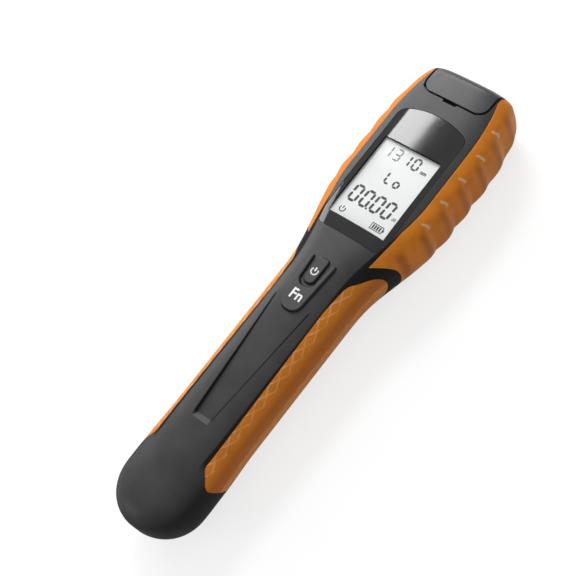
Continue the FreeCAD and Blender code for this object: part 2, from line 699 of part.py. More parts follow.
def function_key():
    top = FACE + KEY_PROUD
    key = function_outline(-MOVING_GAP, KEY_BASE, top)
    half = KEY_HALF_WIDTH + KEY_FLANGE
    flange = block((-half, half), (from_head(KEY_BOTTOM + KEY_FLANGE), from_head(KEY_TOP) - MOVING_GAP),
                   (KEY_BASE, KEY_SEAT))
    key = key.fuse(flange)
    key = key.cut(inset_outline(0.0, KEY_BASE - 1.0, top + 1.0, top=KEY_TOP - 5.0))
    return softened(key, top, 0.3)


def power_key():
    """A pad through its own hole in the face, on a plate that moves behind the face."""
    top = FACE + KEY_PROUD
    plate = inset_outline(-MOVING_GAP, KEY_BASE, KEY_SEAT)
    half = INSET_HALF_WIDTH - MOVING_GAP - 0.1
    flange = block((-half, half), (from_head(KEY_TOP) - 1.0, from_head(KEY_TOP) + KEY_FLANGE), (KEY_BASE, KEY_SEAT))
    pad = softened(pad_outline(0.0, KEY_BASE, top), top, 0.4)
    return plate.fuse(flange).fuse(pad)


def key_openings():
    """The holes of the face for the two keys, with a tongue of the face left between them."""
    tongue = inset_outline(-MOVING_GAP, PARTING, FAR, top=KEY_TOP - 5.0)
    return function_outline(0.0, PARTING, FAR).cut(tongue).fuse(pad_outline(MOVING_GAP, PARTING, FAR))


def key_pocket():
    """Room behind the front cover's wall for the flanges of the keys."""
    half = KEY_HALF_WIDTH + KEY_FLANGE + MOVING_GAP
    return block((-half, half), (from_head(KEY_BOTTOM + KEY_FLANGE) - MOVING_GAP,
                                 from_head(KEY_TOP) + KEY_FLANGE + MOVING_GAP),
                 (PARTING, FACE - FACE_WALL))


def key_switch(place):
    """A tact switch on the board, its plunger just clear of the pressed key."""
    plunger_top = KEY_BASE - KEY_TRAVEL - 0.1
    half = SWITCH_SIZE / 2
    y = from_head(place)
    body = block((-half, half), (y - half, y + half), (BOARD_Z, plunger_top - PLUNGER_HEIGHT))
    plunger = rod(PLUNGER_RADIUS, Vector(0, y, BOARD_Z), Vector(0, 0, 1), plunger_top - BOARD_Z)
    return body.fuse(plunger)


# ---------------------------------------------------------------- tapered sunk panel
def shield_outline(y, z, half, low_y, low_half):
    """The panel seen from the front: a long trapezium between two places along the handle."""
    return [Vector(-half, y, z), Vector(-low_half, low_y, z), Vector(low_half, low_y, z), Vector(half, y, z)]


def shield_cut():
    """A panel with sloping walls that sinks deeper into the face towards the tail."""
    start_y, low_y = from_head(SHIELD_TOP), from_head(SHIELD_BOTTOM)
    run = start_y - low_y
    lead = 1.0
    top_y = start_y + lead
    widen = (SHIELD_TOP_HALF_WIDTH - SHIELD_BOTTOM_HALF_WIDTH) * lead / run
    wide, narrow = SHIELD_TOP_HALF_WIDTH + widen, SHIELD_BOTTOM_HALF_WIDTH
    rise, fall = 1.0, 2.6
    draft, slope = SHIELD_DRAFT / SHIELD_DEPTH, SHIELD_END_SLOPE / SHIELD_DEPTH
    rim = shield_outline(top_y, FACE + rise, wide + draft * rise, low_y - slope * rise, narrow + draft * rise)
    floor = shield_outline(top_y, FACE - fall, wide - draft * fall, low_y + slope * fall, narrow - draft * fall)
    wires = [Part.makePolygon(points + points[:1]) for points in (floor, rim)]
    return Part.makeLoft(wires, True, True).cut(crowned_floor(top_y, low_y, SHIELD_DEPTH * lead / run))


def crowned_floor(top_y, low_y, lift):
    """Everything under the floor of the panel: the handle's own section, drawn downhill to the tail."""
    angles = [math.pi * i / COLUMNS for i in range(COLUMNS + 1)]
    section = [skin_point(from_head(SHIELD_TOP), a, 0.0) + Vector(0, 0, lift) for a in angles]
    for point in section:
        point.y = top_y
    section[0].z = section[-1].z = PARTING
    arch = curve_through(section, angles).toShape()
    face = Part.Face(Part.Wire([arch, Part.makeLine(section[-1], section[0])]))
    run = top_y - low_y + 5.0
    drop = (SHIELD_DEPTH + lift) * run / (top_y - low_y)
    return face.extrude(Vector(0, -run, -drop))


# ---------------------------------------------------------------- board and power supply
def main_board():
    half, neck = BOARD_HALF_WIDTH, BOARD_NECK_HALF_WIDTH
    low = BOARD_Z - BOARD_THICKNESS
    board = block((-half, half), (from_head(BOARD_NECK), from_head(BOARD_TOP)), (low, BOARD_Z))
    board = board.fuse(block((-neck, neck), (from_head(BOARD_BOTTOM), from_head(BOARD_NECK)), (low, BOARD_Z)))
    for x, y in screw_places():
        board = board.cut(rod(BOSS_RADIUS + MOVING_GAP, Vector(x, y, 0), Vector(0, 0, 1), FAR))
    return board.removeSplitter()


def board_room():
    half, neck = BOARD_HALF_WIDTH + GRIP_GAP, BOARD_NECK_HALF_WIDTH + GRIP_GAP
    y = [from_head(BOARD_BOTTOM) - GRIP_GAP, from_head(BOARD_NECK), from_head(BOARD_TOP) + GRIP_GAP]
    room = block((-half, half), (y[1], y[2]), (PARTING, BOARD_Z))
    return room.fuse(block((-neck, neck), (y[0], y[1]), (PARTING, BOARD_Z)))


def cell_start(index):
    first = from_tail(CELL_START + SPRING_LENGTH)
    return first + index * (CELL_LENGTH + CELL_NUB_LENGTH + SEAT_GAP)


def cell_rod(radius, start, end):
    return rod(radius, Vector(0, start, CELL_Z), Vector(0, 1, 0), end - start)


def battery(index):
    start = cell_start(index)
    can = cell_rod(CELL_RADIUS, start, start + CELL_LENGTH)
    can = can.makeFillet(0.5, [e for e in can.Edges if e.Closed])
    return can.fuse(cell_rod(CELL_NUB_RADIUS, start, start + CELL_LENGTH + CELL_NUB_LENGTH))


def battery_spring():
    """A coil that narrows a little towards the cell."""
    pitch = (SPRING_LENGTH - 2 * SPRING_WIRE - SEAT_GAP) / SPRING_TURNS
    helix = Part.makeHelix(pitch, pitch * SPRING_TURNS, 3.6, -6.0)
    start = helix.Edges[0].Vertexes[0].Point
    tangent = helix.Edges[0].tangentAt(helix.Edges[0].FirstParameter)
    section = Part.Wire(Part.makeCircle(SPRING_WIRE, start, tangent))
    coil = Part.Wire(helix.Edges).makePipeShell([section], True, True)
    coil.rotate(Vector(0, 0, 0), Vector(1, 0, 0), -90)
    coil.translate(Vector(0, from_tail(CELL_START) + SPRING_WIRE, CELL_Z))
    return coil


def battery_contact():
    start = cell_start(2)
    return block((-5.0, 5.0), (start, start + CONTACT_THICKNESS), (CELL_Z - 5.0, CELL_Z + 5.0))


def bulkhead():
    """The wall across the rear cover that the positive contact stands against."""
    start = cell_start(2) + CONTACT_THICKNESS + SEAT_GAP
    top = BOARD_Z - BOARD_THICKNESS - GRIP_GAP
    wall = block((-HANDLE_HALF_WIDTH, HANDLE_HALF_WIDTH), (start, start + 1.6), (-1.0, PARTING))
    post = block((-6.0, 6.0), (start, start + 1.6), (PARTING - 2.0, top))
    return wall, post


def door_block(gap, high):
    half = DOOR_HALF_WIDTH + gap
    start = from_tail(DOOR_START)
    return rounded_block((-half, half), (start - gap, start + DOOR_LENGTH + gap), (-2.0, high), DOOR_CORNER + gap)


HOOK_BASE = DOOR_WALL - REST_FLAT_DEPTH - 0.5


def door_hooks(gap, high):
    start = from_tail(DOOR_START)
    hooks = [block((x - HOOK_HALF_WIDTH - gap, x + HOOK_HALF_WIDTH + gap),
                   (start - HOOK_REACH - gap, start + 1.5), (HOOK_BASE - gap, high))
             for x in (-HOOK_SPACING / 2, HOOK_SPACING / 2)]
    return hooks[0].fuse(hooks[1])


def battery_door(rear):
    """The long door, its two hooks at the tail end and a thumb groove at the head end."""
    plate = rear.common(door_block(0.0, PARTING)).cut(half_body("rear", DOOR_WALL))
    hooks = door_hooks(0.0, HOOK_BASE + HOOK_THICKNESS)
    door = plate.fuse(hooks)
    end = from_tail(DOOR_START) + DOOR_LENGTH
    groove = rod(6.0, Vector(-4.5, end - 6.0, HANDLE_GROOVE_Z), Vector(1, 0, 0), 9.0)
    return door.cut(groove)


HANDLE_GROOVE_Z = PARTING - HANDLE_REAR_DEPTH - 5.2


def door_room():
    """The door's opening, with pockets for its hooks to turn in."""
    swing = math.hypot(HOOK_REACH, HOOK_BASE + HOOK_THICKNESS)
    room = door_block(MOVING_GAP, PARTING - 3.0)
    return room.fuse(door_hooks(MOVING_GAP, swing + MOVING_GAP))


# ---------------------------------------------------------------- screws
def screw_places():
    return [(side * x, from_head(distance)) for x, distance in (SCREW_TOP, SCREW_LOW) for side in (-1, 1)]


def upright(radius, x, y, low, high):
    return rod(radius, Vector(x, y, low), Vector(0, 0, 1), high - low)


def case_screws():
    screws = []
    for x, y in screw_places():
        head = upright(SCREW_HEAD_RADIUS, x, y, WELL_DEPTH - SCREW_HEAD_HEIGHT, WELL_DEPTH)
        slot = block((x - 1.4, x + 1.4), (y - 0.35, y + 0.35), (0.0, WELL_DEPTH - SCREW_HEAD_HEIGHT + 0.7))
        cross = block((x - 0.35, x + 0.35), (y - 1.4, y + 1.4), (0.0, WELL_DEPTH - SCREW_HEAD_HEIGHT + 0.7))
        shank = upright(SCREW_RADIUS, x, y, WELL_DEPTH, PARTING + SCREW_BITE)
        screws.append(head.cut(slot).cut(cross).fuse(shank))
    return Part.makeCompound(screws)


# ---------------------------------------------------------------- covers
def grip_recesses(core):
    """What the four grips take out of the covers."""
    right = [head_grip_zone(GRIP_GAP).cut(core), handle_grip_zone(GRIP_GAP).cut(core)]
    return right + [mirrored(zone) for zone in right]


def cavity(half):
    return half_body(half, CAVITY_INSET, end=PANEL_INNER_Y - PANEL_RIB)


def panel_slot():
    gap = SEAT_GAP
    slot = block((-PANEL_HALF_WIDTH - gap, PANEL_HALF_WIDTH + gap), (PANEL_INNER_Y - gap, PANEL_OUTER_Y + gap),
                 (PANEL_RIM - gap, FACE - PANEL_RIM + gap))
    half = CAP_HALF_WIDTH - 1.0
    window = block((-half, half), (PANEL_INNER_Y - PANEL_RIB - 1.0, PANEL_INNER_Y), (PANEL_RIM + 2.5, FACE - PANEL_RIM - 2.5))
    return slot.fuse(window)


def front_cover(front, recesses):
    cover = front
    for recess in recesses:
        cover = cover.cut(recess)
    cover = cover.cut(cavity("front"))
    bosses = [upright(BOSS_RADIUS, x, y, PARTING, FACE - FACE_WALL) for x, y in screw_places()]
    cover = cover.fuse([boss.common(front) for boss in bosses])
    lip = cap_outline(MOVING_GAP).cut(half_body("front", CAP_WALL + MOVING_GAP))
    lip = lip.common(block((-FAR, FAR), (from_head(CAP_LIP_END + 2.0), HEAD_END + 5.0), (PARTING, FAR)))
    cuts = [window_outline(0.0, WINDOW_BACK - SEAT_GAP, FAR), lcd_block(-SEAT_GAP, WINDOW_BACK, PARTING),
            board_room(), key_openings(), key_pocket(), shield_cut(), lip, cap_rebate(),
            port_chamber(), panel_slot(), finger_notch()]
    cuts += [upright(SCREW_RADIUS + 0.02, x, y, PARTING - 1.0, PARTING + SCREW_BITE + 0.5)
             for x, y in screw_places()]
    for cut in cuts:
        cover = cover.cut(cut)
    return cover


def rear_cover(rear, recesses):
    cover = rear
    for recess in recesses:
        cover = cover.cut(recess)
    cover = cover.cut(cavity("rear"))
    wall, post = bulkhead()
    additions = [wall.common(rear)]
    for x, y in screw_places():
        boss = upright(BOSS_RADIUS, x, y, 0.0, PARTING)
        well = upright(SCREW_HEAD_RADIUS + 1.4, x, y, 0.0, WELL_DEPTH + 1.4)
        additions.append(boss.fuse(well).common(half_body("rear", 0.4)))
    for addition in additions:
        cover = cover.fuse(addition)
    for recess in recesses:
        cover = cover.cut(recess)
    cuts = [door_room(), port_chamber(), panel_slot(),
            cell_rod(CELL_RADIUS + CELL_CLEARANCE, from_tail(CELL_START), cell_start(2) + CONTACT_THICKNESS)]
    cuts += [upright(SCREW_RADIUS + 0.15, x, y, 0.0, FAR) for x, y in screw_places()]
    cuts += [upright(SCREW_HEAD_RADIUS + 0.3, x, y, -2.0, WELL_DEPTH) for x, y in screw_places()]
    for cut in cuts:
        cover = cover.cut(cut)
    cover = cover.fuse(post).fuse(hinge_ears())
    return cover.cut(hinge_rod(PIN_RADIUS + 0.02, -CAP_HALF_WIDTH - MOVING_GAP / 2 - SEAT_GAP,
                               CAP_HALF_WIDTH + MOVING_GAP / 2 + SEAT_GAP))


# ---------------------------------------------------------------- the whole meter
def planed(shape):
    """Planes off whatever reaches below the plane that the meter rests on."""
    return shape.cut(block((-FAR, FAR), (-LENGTH, LENGTH), (-FAR, 0.0)))


def pieces():
    front, rear = half_body("front", 0.0), half_body("rear", 0.0)
    seat = half_body("right", GRIP_THICKNESS)
    core = half_body("right", GRIP_THICKNESS - SEAT_GAP)
    recesses = grip_recesses(seat)
    head, handle = head_grip(core), handle_grip(core)
    return {
        "front_cover": front_cover(front, recesses),
        "rear_cover": planed(rear_cover(rear, recesses)),
        "head_grip_right": head,
        "head_grip_left": mirrored(head),
        "handle_grip_right": handle,
        "handle_grip_left": mirrored(handle),
        "port_cap": port_cap(front, rear),
        "cap_hinge_pin": cap_hinge_pin(),
        "port_panel": port_panel(),
        "detector_port": detector_port(),
        "laser_port": laser_port(),
        "photodiode": photodiode(),
        "laser_module": laser_module(),
        "display_window": display_window(),
        "lcd_module": lcd_module(),
        "lcd_backlight": lcd_backlight(),
        "power_key": power_key(),
        "function_key": function_key(),
        "power_switch": key_switch(POWER_SWITCH_PLACE),
        "function_switch": key_switch(FUNCTION_SWITCH_PLACE),
        "main_board": main_board(),
        "battery_door": planed(battery_door(rear)),
        "battery_1": battery(0),
        "battery_2": battery(1),
        "battery_spring": battery_spring(),
        "battery_contact": battery_contact(),
        "case_screws": case_screws(),
    }


def main():
    os.makedirs("parts", exist_ok=True)
    for name, shape in pieces().items():
        print(f"{name}: {len(shape.Solids)} solid, {shape.Volume:.0f} mm3, valid {shape.isValid()}")
        shape.exportStep(f"parts/{name}.step")


if __name__ == "__main__":
    main()
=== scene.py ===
# %% [markdown]
# # A hand-held optical power meter
# The meter measures the light that comes out of a glass fibre. It has a head with a display, a handle that
# holds two cells, and two ports under a hinged cap. It lies on its back: X runs across it, +Y points to the
# ports, and +Z comes out of the display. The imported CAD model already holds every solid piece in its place,
# so none of them is moved or reshaped here. This script gives each piece its material, models the thin
# marks on the display and on the keys, and sets up the studio and the camera.

# %% Load the frame
import math

import bpy
from mathutils import Matrix, Vector


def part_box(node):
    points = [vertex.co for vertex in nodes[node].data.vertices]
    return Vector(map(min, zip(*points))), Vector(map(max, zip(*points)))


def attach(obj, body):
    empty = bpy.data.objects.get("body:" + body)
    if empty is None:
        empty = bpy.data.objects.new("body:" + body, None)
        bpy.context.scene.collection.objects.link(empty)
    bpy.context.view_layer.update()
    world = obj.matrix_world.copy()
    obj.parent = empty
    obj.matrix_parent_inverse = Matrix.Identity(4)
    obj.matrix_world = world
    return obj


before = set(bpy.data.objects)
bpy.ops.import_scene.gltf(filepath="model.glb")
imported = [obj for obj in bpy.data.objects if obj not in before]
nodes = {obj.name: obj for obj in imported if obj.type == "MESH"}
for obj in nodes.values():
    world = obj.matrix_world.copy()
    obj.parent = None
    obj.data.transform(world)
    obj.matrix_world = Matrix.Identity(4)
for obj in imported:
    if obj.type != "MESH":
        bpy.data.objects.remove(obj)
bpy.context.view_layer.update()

MM = 0.001

# %% [markdown]
# ## Numbers that change over a surface
# A material is a graph of nodes. A pattern in it could come from a picture, but a picture needs a flat map
# of the piece and is only as fine as its dots. Here a pattern is arithmetic on the place of each point,
# which needs no map and stays fine from any distance. `Field` wraps what one node gives, and the Python
# operators on it add Math nodes, so a pattern reads like its formula. Blender's noise seldom strays far
# from a half, so `spread` stretches it, and `around` lets a gloss swing about a middle value.


# %% Fields
class Field:
    """A number worked out at each point of a surface."""

    def __init__(self, paint, socket):
        self.paint, self.socket = paint, socket

    def math(self, operation, *values):
        node = self.paint.node("Math", {"operation": operation}, dict(enumerate((self, *values))))
        return Field(self.paint, node.outputs[0])

    def __add__(self, other):
        return self.math("ADD", other)

    def __sub__(self, other):
        return self.math("SUBTRACT", other)

    def __mul__(self, other):
        return self.math("MULTIPLY", other)

    def __truediv__(self, other):
        return self.math("DIVIDE", other)

    def __abs__(self):
        return self.math("ABSOLUTE")

    __radd__ = __add__
    __rmul__ = __mul__

    def __rsub__(self, other):
        return self * -1.0 + other

    def least(self, other):
        return self.math("MINIMUM", other)

    def most(self, other):
        return self.math("MAXIMUM", other)

    def wave(self, pitch):
        """0 at each multiple of the pitch, and 1 half way between them."""
        return self.math("PINGPONG", pitch / 2) * (2 / pitch)

    def nearest(self, pitch):
        """How far the value is from the nearest multiple of the pitch, negative below it."""
        return self.math("WRAP", pitch / 2, -pitch / 2)

    def rise(self, start, end):
        """Goes smoothly from 0 at start to 1 at end."""
        sockets = {"Value": self, "From Min": start, "From Max": end}
        node = self.paint.node("MapRange", {"interpolation_type": "SMOOTHSTEP"}, sockets)
        return Field(self.paint, node.outputs["Result"])

    def fall(self, start, end):
        """Goes smoothly from 1 at start to 0 at end."""
        return 1.0 - self.rise(start, end)

    def spread(self, margin=0.3):
        """Stretches noise, so that it is 0 up to the margin and 1 from as far below 1."""
        return self.rise(margin, 1 - margin)


def around(middle, *parts):
    """A number near the middle. Each part is a noise and how far it swings the number from end to end."""
    total = middle - sum(swing for noise, swing in parts) / 2
    for noise, swing in parts:
        total = noise * swing + total
    return total


# %% [markdown]
# ## A material in the making
# `Paint` starts a material with Blender's Principled shader, which covers plastic, rubber, metal and glass.
# Its method `node` is the one place where nodes are added: the settings come first, because they decide
# which sockets a node has, and then each socket gets a plain value or a link. A number that is the same all
# over a piece goes straight on the shader's own socket, where a game engine or another program finds it.
# Patterns read Object coordinates, because a finished piece has its place in its mesh.


# %% Paint
MIX_FIRST, MIX_SECOND, MIX_RESULT = 6, 7, 2   # the colour sockets of a Mix node, whose names aren't unique


class Paint:
    """A material, its Principled shader, and the nodes that feed it."""

    def __init__(self, name, **constants):
        self.material = bpy.data.materials.new(name)
        self.material.use_nodes = True
        self.tree = self.material.node_tree
        self.shader = self.tree.nodes["Principled BSDF"]
        self.coordinates = self.node("TexCoord").outputs["Object"]
        self.set(**constants)

    def node(self, kind, settings=None, sockets=None):
        """Adds a node, sets its settings, and then gives each socket named a value or a link."""
        made = self.tree.nodes.new("ShaderNode" + kind)
        for key, value in (settings or {}).items():
            setattr(made, key, value)
        for key, value in (sockets or {}).items():
            self.fill(made.inputs[key], value)
        return made

    def fill(self, socket, value):
        """Links a socket to a field or another node's socket, or sets it to a number or a colour."""
        if isinstance(value, Field):
            value = value.socket
        if isinstance(value, bpy.types.NodeSocket):
            self.tree.links.new(value, socket)
        elif socket.type == "RGBA":
            socket.default_value = (*value, 1.0)
        else:
            socket.default_value = value

    def set(self, **inputs):
        """Fills inputs of the shader. An underscore stands for a space in an input's name."""
        for key, value in inputs.items():
            self.fill(self.shader.inputs[key.replace("_", " ")], value)
        return self

    def place(self):
        """The x, y and z of each point, in millimetres."""
        split = self.node("SeparateXYZ", sockets={0: self.coordinates})
        return [Field(self, output) * (1 / MM) for output in split.outputs]

    def noise(self, size, detail=2.0, stretch=(1, 1, 1)):
        """Noise between 0 and 1 whose grains have a size in millimetres."""
        scale = [share / (size * MM) for share in stretch]
        scaled = self.node("Mapping", sockets={"Vector": self.coordinates, "Scale": scale})
        sockets = {"Vector": scaled.outputs[0], "Scale": 1.0, "Detail": detail}
        return Field(self, self.node("TexNoise", sockets=sockets).outputs["Fac"])

    def mixed(self, share, first, second):
        """The first colour where the share is 0 and the second where it is 1."""
        sockets = {"Factor": share, MIX_FIRST: first, MIX_SECOND: second}
        return self.node("Mix", {"data_type": "RGBA"}, sockets).outputs[MIX_RESULT]

    def bump(self, height):
        """Tilts the light on the surface as a relief would, whose height is in millimetres."""
        made = self.node("Bump", sockets={"Strength": 1.0, "Distance": MM, "Height": height})
        return self.set(Normal=made.outputs[0])


def dress(paint, *names):
    """Puts a material on CAD pieces, in place of what they had."""
    for name in names:
        materials = nodes[name].data.materials
        materials.clear()
        materials.append(paint.material)
    print(paint.material.name, "on", ", ".join(names))


# %% [markdown]
# ## Backlight
# Behind the LCD lies a sheet of milky plastic that spreads the light of small lamps at its edge. Hardly any
# of it can be seen. Scattering inside the plastic could be worked out, but it is slow and wouldn't show, so
# two close whites in soft patches are enough. It is the plainest material here, and shows how the others
# are made too: noise, spread to full contrast, mixes two colours.


# %% Backlight
def milky_plastic():
    paint = Paint("milky_diffuser", Roughness=0.4)
    patches = paint.noise(3.0).spread()
    return paint.set(Base_Color=paint.mixed(patches, (0.80, 0.80, 0.77), (0.86, 0.86, 0.84)))


dress(milky_plastic(), "lcd_backlight")

# %% [markdown]
# ## Moulded plastic
# The cap, the keys, the switches and the covers are satin black plastic. Sparks have etched their moulds,
# which leaves a fine grain, and the plastic's colour and gloss vary a little where it flowed. The grain
# could be modelled by pushing the faces in and out, but it is finer than a quarter of a millimetre and
# would take millions of them. A bump from fine noise does the same for the light. Slow noise shifts the
# colour and the gloss by a few hundredths, and without it a black piece looks like a flat cut-out.

# %% Cap, keys and switches
PLASTIC_IOR, PLASTIC_GLOSS = 1.48, 0.34
FLOW_PATCH = 9.0                          # size of the soft patches in colour and gloss, in millimetres
# painted shade is black, and rougher than the plastic
SHADE_BLACK, MATT_ROUGHER = (0.002, 0.002, 0.002), 0.45


def moulded(name, dark, light, roughness, grain=0.006, grain_size=0.22, marks=None):
    """Satin plastic between two greys. Marks give the share of painted shade, in matt black, at each point.
    """
    paint = Paint(name, IOR=PLASTIC_IOR, Specular_IOR_Level=PLASTIC_GLOSS)
    slow, fine = paint.noise(FLOW_PATCH, detail=3.0), paint.noise(grain_size, detail=3.0)
    skin = paint.mixed((slow * 0.65 + fine * 0.35).spread(), dark, light)
    gloss = around(roughness, (slow, 0.10), (fine, 0.08))
    # painted shade: where the marks say, the colour goes to black and the gloss gets duller
    if marks:
        share = marks(paint)
        skin = paint.mixed(share, skin, SHADE_BLACK)
        gloss = gloss + share * MATT_ROUGHER
    return paint.set(Base_Color=skin, Roughness=gloss).bump(fine * grain)


KEY_ROUGHNESS, KEY_GRAIN, KEY_GRAIN_SIZE = 0.45, 0.004, 0.16
cap = moulded("cap_plastic", (0.036, 0.036, 0.037), (0.046, 0.046, 0.047), 0.38)
function_key = moulded("function_key_plastic", (0.040, 0.040, 0.041), (0.050, 0.050, 0.051),
                       KEY_ROUGHNESS, KEY_GRAIN, KEY_GRAIN_SIZE)
power_key = moulded("power_key_plastic", (0.034, 0.034, 0.035), (0.044, 0.044, 0.045),
                    KEY_ROUGHNESS, KEY_GRAIN, KEY_GRAIN_SIZE)
switch_case = moulded("switch_plastic", (0.010, 0.010, 0.010), (0.020, 0.020, 0.021), 0.5)
dress(cap, "port_cap")
dress(function_key, "function_key")
dress(power_key, "power_key")
dress(switch_case, "power_switch", "function_switch")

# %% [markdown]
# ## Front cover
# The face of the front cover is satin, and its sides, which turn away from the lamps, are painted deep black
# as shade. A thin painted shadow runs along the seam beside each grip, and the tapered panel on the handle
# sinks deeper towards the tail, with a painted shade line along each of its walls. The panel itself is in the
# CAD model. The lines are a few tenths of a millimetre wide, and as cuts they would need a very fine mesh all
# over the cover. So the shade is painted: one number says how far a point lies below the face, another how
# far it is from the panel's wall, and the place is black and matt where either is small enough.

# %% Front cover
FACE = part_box("front_cover")[1].z / MM
HEAD_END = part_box("port_cap")[1].y / MM
# painted shade on the sides that turn away from the lamps
SIDE_DEPTH, SIDE_SHADE_SHARE = (0.8, 6.0), 0.9
# painted shadow along the seam beside each grip
SEAM_DEPTH = (1.40, 1.70)
SEAM_TAIL, SEAM_HEAD = (-74.0, -68.0), (80.0, 84.0)
PANEL_FROM_HEAD, PANEL_LENGTH = 106.0, 52.0
PANEL_HEAD_HALF, PANEL_TAIL_HALF = 8.0, 3.7      # half widths of its two ends
# a painted shade line along the panel's walls
WALL_SHADE_INSIDE, WALL_SHADE_WIDENS = 0.12, 0.12        # it lies inside the wall, and widens towards the tail
WALL_SHADE_EDGE = (0.22, 0.42)
WALL_SHADE_START, WALL_SHADE_END = (0.0, 0.04), (0.96, 1.0)      # shares of the panel's length


def face_shade(paint):
    """How much painted shade each point of the cover has, from 0 to 1."""
    x, y, z = paint.place()
    depth = FACE - z
    # painted shadow at the seams, painted shade on the sides and along the panel's walls
    seam_shadow = depth.rise(*SEAM_DEPTH) * y.rise(*SEAM_TAIL) * y.fall(*SEAM_HEAD)
    side = depth.rise(*SIDE_DEPTH) * SIDE_SHADE_SHARE
    down = (HEAD_END - PANEL_FROM_HEAD - y) / PANEL_LENGTH
    half = PANEL_HEAD_HALF - down * (PANEL_HEAD_HALF - PANEL_TAIL_HALF)
    from_wall = abs(abs(x) - half + WALL_SHADE_INSIDE) - down * WALL_SHADE_WIDENS
    wall_shade = from_wall.fall(*WALL_SHADE_EDGE) * down.rise(*WALL_SHADE_START) * down.fall(*WALL_SHADE_END)
    return seam_shadow.most(side).most(wall_shade)


COVER_ROUGHNESS = 0.42
face = moulded("face_plastic", (0.028, 0.028, 0.029), (0.038, 0.038, 0.039), COVER_ROUGHNESS,
               marks=face_shade)
dress(face, "front_cover")
print(f"face at {FACE:.2f} mm, head's end at {HEAD_END:.2f} mm")
print(f"groove along a panel {PANEL_LENGTH} mm long, from {HEAD_END - PANEL_FROM_HEAD:.1f} mm down")

# %% [markdown]
# ## Rear cover, door and port panel
# The painted shade of the sides runs on over the rear cover, and fades towards its back, which is satin like
# the face but a little darker. The front cover's mask can't serve here, since it would make the whole back
# matt. A second mask on the depth below the face fades out again, and the seam between the covers doesn't
# show as a step.

# %% Rear cover, door and port panel
BACK_FADE = (19.0, 26.0)


def back_shade(paint):
    """How much painted shade each point has, from the sides to the back."""
    x, y, z = paint.place()
    # painted shade, full on the sides and fading towards the back
    return (FACE - z).fall(*BACK_FADE) * SIDE_SHADE_SHARE


housing = moulded("housing_plastic", (0.023, 0.023, 0.024), (0.031, 0.031, 0.032), COVER_ROUGHNESS,
                  marks=back_shade)
dress(housing, "rear_cover", "battery_door", "port_panel")

# %% [markdown]
# ## Rubber of the grips
# The grips are soft rubber, moulded apart and let into the covers. Rubber is duller than plastic, so it is
# rougher and has a lower index of refraction, and its skin is mottled. On top of that, light and shade are
# painted in: raised ridges get a pale painted highlight, and hollows get painted shade. So each kind of grip
# gives a relief of three fields: a height for the bump, how much painted highlight a point has, and how much
# painted shade.

# %% Rubber
RUBBER_IOR, RUBBER_GLOSS = 1.38, 0.34
RUBBER_ROUGHNESS, RUBBER_GRAIN = 0.52, 0.010
GRIP_DARK, GRIP_LIGHT = (0.54, 0.158, 0.006), (0.66, 0.208, 0.012)
# painted shade for the hollows, and painted highlight for the ridges
GRIP_SHADE, GRIP_HIGHLIGHT = (0.36, 0.090, 0.001), (0.92, 0.58, 0.32)


def grip_rubber(name, relief):
    paint = Paint(name, IOR=RUBBER_IOR, Specular_IOR_Level=RUBBER_GLOSS)
    slow, fine = paint.noise(6.0, detail=3.0), paint.noise(0.30, detail=3.0)
    height, highlight, hollow_shade = relief(paint)
    skin = paint.mixed((slow * 0.7 + fine * 0.3).spread(0.25), GRIP_DARK, GRIP_LIGHT)
    # painted shade in the hollows, then painted highlight on the ridges
    skin = paint.mixed(hollow_shade * (slow * 0.4 + 0.6), skin, GRIP_SHADE)
    skin = paint.mixed(highlight * (fine * 0.5 + 0.6), skin, GRIP_HIGHLIGHT)
    paint.set(Base_Color=skin, Roughness=around(RUBBER_ROUGHNESS, (slow, 0.10), (fine, 0.10)))
    return paint.bump(fine * RUBBER_GRAIN + height)


print("rubber between", GRIP_DARK, "and", GRIP_LIGHT)

# %% [markdown]
# ## Head grips
# The head grips have rounded scallops for the fingers, which are in the CAD model. Where two scallops meet,
# a fine bowed ridge gets a pale painted highlight, with a fainter one on each side of it, and painted shade
# darkens the hollow behind. These ridges are a fifth of a millimetre high. As solids they would be thin
# slivers, so a bump and a painted highlight make them. `nearest` repeats one ridge at each crease, and a
# square of the depth bows it.

# %% Head grips
ARC_FIRST, ARC_PITCH, ARC_COUNT = 14.7, 10.6, 5
ARC_MIDDLE_DEPTH, ARC_BOW = 7.5, 0.06
ARC_SPAN_FRONT, ARC_SPAN_REAR = (2.5, 3.3), (6.6, 8.2)
ARCS_START = (-2.5, -1.5)
ARCS_END = (ARC_PITCH * (ARC_COUNT - 0.5), ARC_PITCH * (ARC_COUNT - 0.3))
ARC_EDGE, SIDE_ARC_EDGE, SIDE_ARC_AWAY = (0.20, 0.42), (0.10, 0.26), 0.62
# the ridges' height, and how strong the side ridges' painted highlight is
ARC_HEIGHT, SIDE_ARC_HEIGHT, SIDE_ARC_HIGHLIGHT = 0.22, 0.08, 0.35
# where the painted shade lies behind each crease
HOLLOW_AWAY, HOLLOW_EDGE, HOLLOW_DEPTH = 4.2, (0.3, 3.0), (3.0, 6.5)


